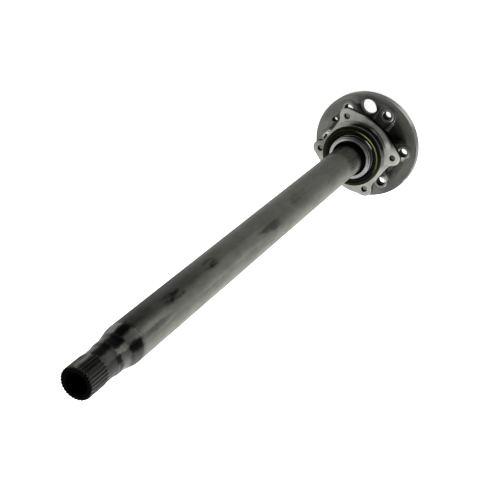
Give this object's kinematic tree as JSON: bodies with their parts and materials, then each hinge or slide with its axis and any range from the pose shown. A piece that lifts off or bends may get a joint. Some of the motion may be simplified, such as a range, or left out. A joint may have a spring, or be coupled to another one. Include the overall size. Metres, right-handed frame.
{
  "type": "rear axle shaft with wheel flange and bearing",
  "caption": "Hollow forged rear axle shaft with a splined end, a round wheel flange and a sealed double-row wheel bearing whose outer ring has an eared bolting flange.",
  "frame": {"origin": "centre of the wheel-side spigot's end face, on the shaft's axis, the lowest face as it stands", "axes": "+Z along the shaft from the wheel flange to the splined end, +X and +Y along the short and the long spacing of the eared flange's bolt holes"},
  "size_m": [0.173, 0.173, 0.839],
  "materials": {
    "forging": "phosphated",
    "ring_steel": "ground",
    "collar_steel": "turned",
    "ball_steel": "polished",
    "cage_plastic": "moulded",
    "seal_rubber": "moulded",
    "o_ring_rubber": "moulded"
  },
  "bodies": {
    "axle": {"axle_shaft": "forging", "inner_ring_wheel_side": "ring_steel", "inner_ring_tube_side": "ring_steel", "locking_collar": "collar_steel"},
    "housing": {"flanged_outer_ring": "ring_steel", "seal_wheel_side": "seal_rubber", "seal_tube_side": "seal_rubber", "o_ring": "o_ring_rubber"},
    "wheel_side_balls": {"cage_wheel_side": "cage_plastic", "ball_wheel_side_01": "ball_steel", "ball_wheel_side_02": "ball_steel", "ball_wheel_side_03": "ball_steel", "ball_wheel_side_04": "ball_steel", "ball_wheel_side_05": "ball_steel", "ball_wheel_side_06": "ball_steel", "ball_wheel_side_07": "ball_steel", "ball_wheel_side_08": "ball_steel", "ball_wheel_side_09": "ball_steel", "ball_wheel_side_10": "ball_steel", "ball_wheel_side_11": "ball_steel", "ball_wheel_side_12": "ball_steel", "ball_wheel_side_13": "ball_steel", "ball_wheel_side_14": "ball_steel"},
    "tube_side_balls": {"cage_tube_side": "cage_plastic", "ball_tube_side_01": "ball_steel", "ball_tube_side_02": "ball_steel", "ball_tube_side_03": "ball_steel", "ball_tube_side_04": "ball_steel", "ball_tube_side_05": "ball_steel", "ball_tube_side_06": "ball_steel", "ball_tube_side_07": "ball_steel", "ball_tube_side_08": "ball_steel", "ball_tube_side_09": "ball_steel", "ball_tube_side_10": "ball_steel", "ball_tube_side_11": "ball_steel", "ball_tube_side_12": "ball_steel", "ball_tube_side_13": "ball_steel", "ball_tube_side_14": "ball_steel"}
  },
  "joints": [
    {"name": "housing_turn", "type": "hinge", "parent": "axle", "child": "housing", "pos_m": [0, 0, 0.05845], "axis": [0, 0, 1], "continuous": true},
    {"name": "wheel_row_turn", "type": "hinge", "parent": "axle", "child": "wheel_side_balls", "pos_m": [0, 0, 0.04795], "axis": [0, 0, 1], "continuous": true},
    {"name": "tube_row_turn", "type": "hinge", "parent": "axle", "child": "tube_side_balls", "pos_m": [0, 0, 0.06895], "axis": [0, 0, 1], "continuous": true}
  ],
  "couplings": [
    {"joint": "wheel_row_turn", "follows": "housing_turn", "ratio": 0.559},
    {"joint": "tube_row_turn", "follows": "housing_turn", "ratio": 0.559}
  ]
}
